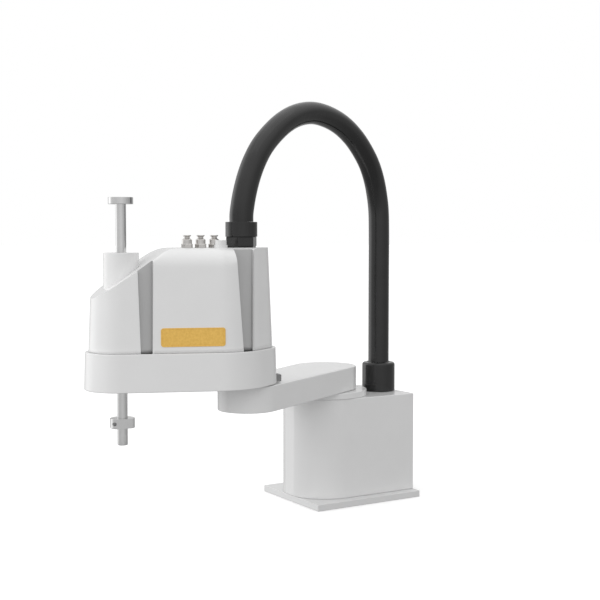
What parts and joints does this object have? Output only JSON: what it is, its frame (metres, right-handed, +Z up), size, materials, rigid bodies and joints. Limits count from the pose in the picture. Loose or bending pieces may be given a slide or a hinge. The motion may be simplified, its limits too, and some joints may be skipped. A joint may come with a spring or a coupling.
{
  "type": "scara robot arm",
  "caption": "Four-axis SCARA robot arm on a square base column, with two swinging arms, a lifting and turning quill and an arched cable conduit.",
  "frame": {"origin": "on the shoulder axis at the underside of the base plate", "axes": "+Z up along the shoulder axis, +X to the front of the base, +Y to its left; the inner arm rests 31.6 degrees to the left of +X and the outer arm 11.2 degrees to the right of +X"},
  "size_m": [0.8103, 0.3917, 0.8682],
  "materials": {
    "paint": "satin",
    "plate_paint": "satin",
    "steel": "polished",
    "nickel": "satin",
    "black_gloss": "gloss",
    "belt_rubber": "matte",
    "dark_case": "satin",
    "alloy": "satin",
    "panel_grey": "satin",
    "screw_steel": "satin",
    "button_plastic": "satin"
  },
  "bodies": {
    "base": {"base_plate": "plate_paint", "base_column": "paint", "rear_panel": "panel_grey", "panel_screw_1": "screw_steel", "panel_screw_2": "screw_steel", "panel_screw_3": "screw_steel", "panel_screw_4": "screw_steel", "power_connector": "dark_case", "signal_connector": "dark_case", "air_inlet_1": "nickel", "air_inlet_2": "nickel", "air_inlet_3": "nickel", "shoulder_motor": "dark_case", "shoulder_reducer": "alloy", "shoulder_flange": "paint", "base_gland": "black_gloss", "base_gland_locknut": "black_gloss", "conduit_arch": "black_gloss"},
    "inner_arm": {"inner_arm_casting": "paint", "inner_arm_lid": "plate_paint", "shoulder_hub": "alloy", "elbow_hub": "alloy"},
    "outer_arm": {"outer_arm_casting": "paint", "stop_lug": "panel_grey", "outer_arm_cover": "paint", "quill_sleeve": "paint", "elbow_motor": "dark_case", "elbow_reducer": "alloy", "turn_motor": "dark_case", "turn_bracket": "alloy", "turn_belt": "belt_rubber", "lift_motor": "dark_case", "lift_brake": "alloy", "lift_bracket": "alloy", "lift_belt": "belt_rubber", "quill_housing": "alloy", "spline_bearing": "alloy", "air_fitting_1": "nickel", "air_fitting_2": "nickel", "air_fitting_3": "nickel", "button_bezel": "button_plastic", "arm_gland_body": "black_gloss", "arm_gland_nut": "black_gloss", "arm_gland_locknut": "black_gloss", "conduit_drop": "black_gloss"},
    "spline_rotor": {"spline_nut": "steel", "spline_pulley": "alloy"},
    "ball_rotor": {"ball_nut": "steel", "ball_pulley": "alloy"},
    "turn_motor_rotor": {"turn_motor_pulley": "alloy"},
    "lift_motor_rotor": {"lift_motor_pulley": "alloy"},
    "quill": {"quill_shaft": "steel", "upper_collar": "steel", "lower_collar": "steel", "lower_collar_screw": "screw_steel"},
    "brake_button": {"brake_release_button": "button_plastic"}
  },
  "joints": [
    {"name": "shoulder", "type": "hinge", "parent": "base", "child": "inner_arm", "pos_m": [0, 0, 0.24], "axis": [0, 0, 1], "range_deg": [-156.6, 93.4], "deforming": ["conduit_arch"]},
    {"name": "elbow", "type": "hinge", "parent": "inner_arm", "child": "outer_arm", "pos_m": [0.2981, 0.1834, 0.3], "axis": [0, 0, 1], "range_deg": [-87.2, 172.8], "deforming": ["conduit_drop"]},
    {"name": "quill_turn", "type": "hinge", "parent": "outer_arm", "child": "spline_rotor", "pos_m": [0.54334, 0.13484, 0.33], "axis": [0, 0, 1], "range_deg": [-360, 360]},
    {"name": "quill_lift", "type": "slide", "parent": "spline_rotor", "child": "quill", "axis": [0, 0, 1], "range_m": [-0.09, 0.052]},
    {"name": "ball_nut_turn", "type": "hinge", "parent": "outer_arm", "child": "ball_rotor", "pos_m": [0.54334, 0.13484, 0.42], "axis": [0, 0, 1], "range_deg": [-1700, 980]},
    {"name": "turn_motor_shaft", "type": "hinge", "parent": "outer_arm", "child": "turn_motor_rotor", "pos_m": [0.45224, 0.18957, 0.357], "axis": [0, 0, 1], "range_deg": [-680, 680]},
    {"name": "lift_motor_shaft", "type": "hinge", "parent": "outer_arm", "child": "lift_motor_rotor", "pos_m": [0.39313, 0.12788, 0.389], "axis": [0, 0, 1], "range_deg": [-3180, 1820]},
    {"name": "brake_button_press", "type": "slide", "parent": "outer_arm", "child": "brake_button", "axis": [0, 0, -1], "range_m": [0, 0.003], "stiffness_N_per_m": 600, "springref_m": -0.001}
  ],
  "couplings": [
    {"joint": "ball_nut_turn", "follows": "quill_lift", "rad_per_m": 314.16},
    {"joint": "lift_motor_shaft", "follows": "quill_lift", "rad_per_m": 586.43},
    {"joint": "turn_motor_shaft", "follows": "quill_turn", "ratio": 1.8667}
  ]
}
